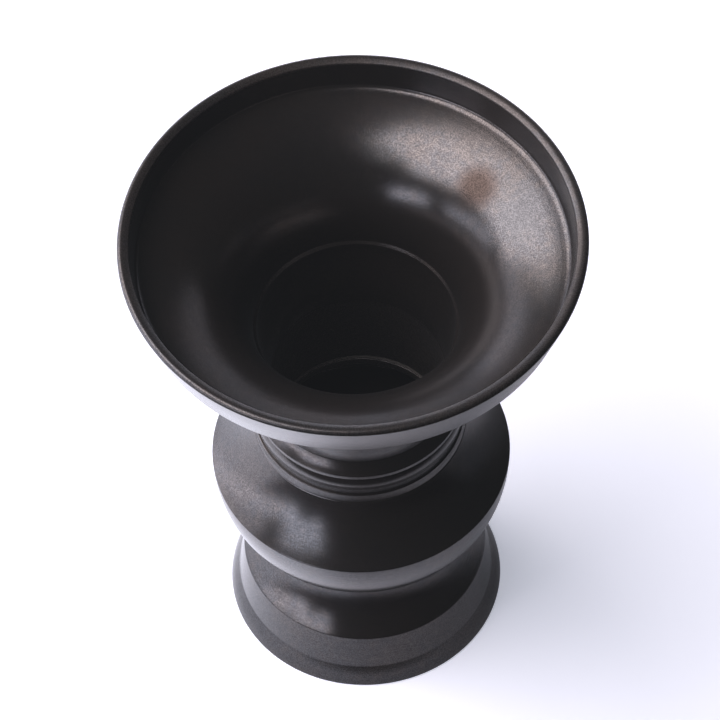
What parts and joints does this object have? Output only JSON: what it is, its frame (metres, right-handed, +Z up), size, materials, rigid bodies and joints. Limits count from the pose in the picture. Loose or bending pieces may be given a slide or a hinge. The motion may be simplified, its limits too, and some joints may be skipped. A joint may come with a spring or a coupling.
{
  "type": "flower vase",
  "caption": "Lathe-turned dark brass flower vase with a wide trumpet mouth, beaded neck, ridged shoulder, coved waist and flared foot.",
  "frame": {"origin": "centre of the foot's standing ring, on the surface the vase stands on", "axes": "+Z up along the turning axis; X and Y are equal, because the vase is round"},
  "size_m": [0.15, 0.15, 0.1948],
  "materials": {
    "patinated_brass": "satin dark brown-black patina with a fine speckle",
    "plate_brass": "matt dark patina",
    "solder": "dull soft solder"
  },
  "bodies": {
    "root": {"mouth": "patinated_brass", "neck_collar": "patinated_brass", "body": "patinated_brass", "foot": "patinated_brass", "base_plate": "plate_brass", "neck_solder_ring": "solder", "waist_solder_ring": "solder", "base_solder_ring": "solder"}
  },
  "joints": []
}
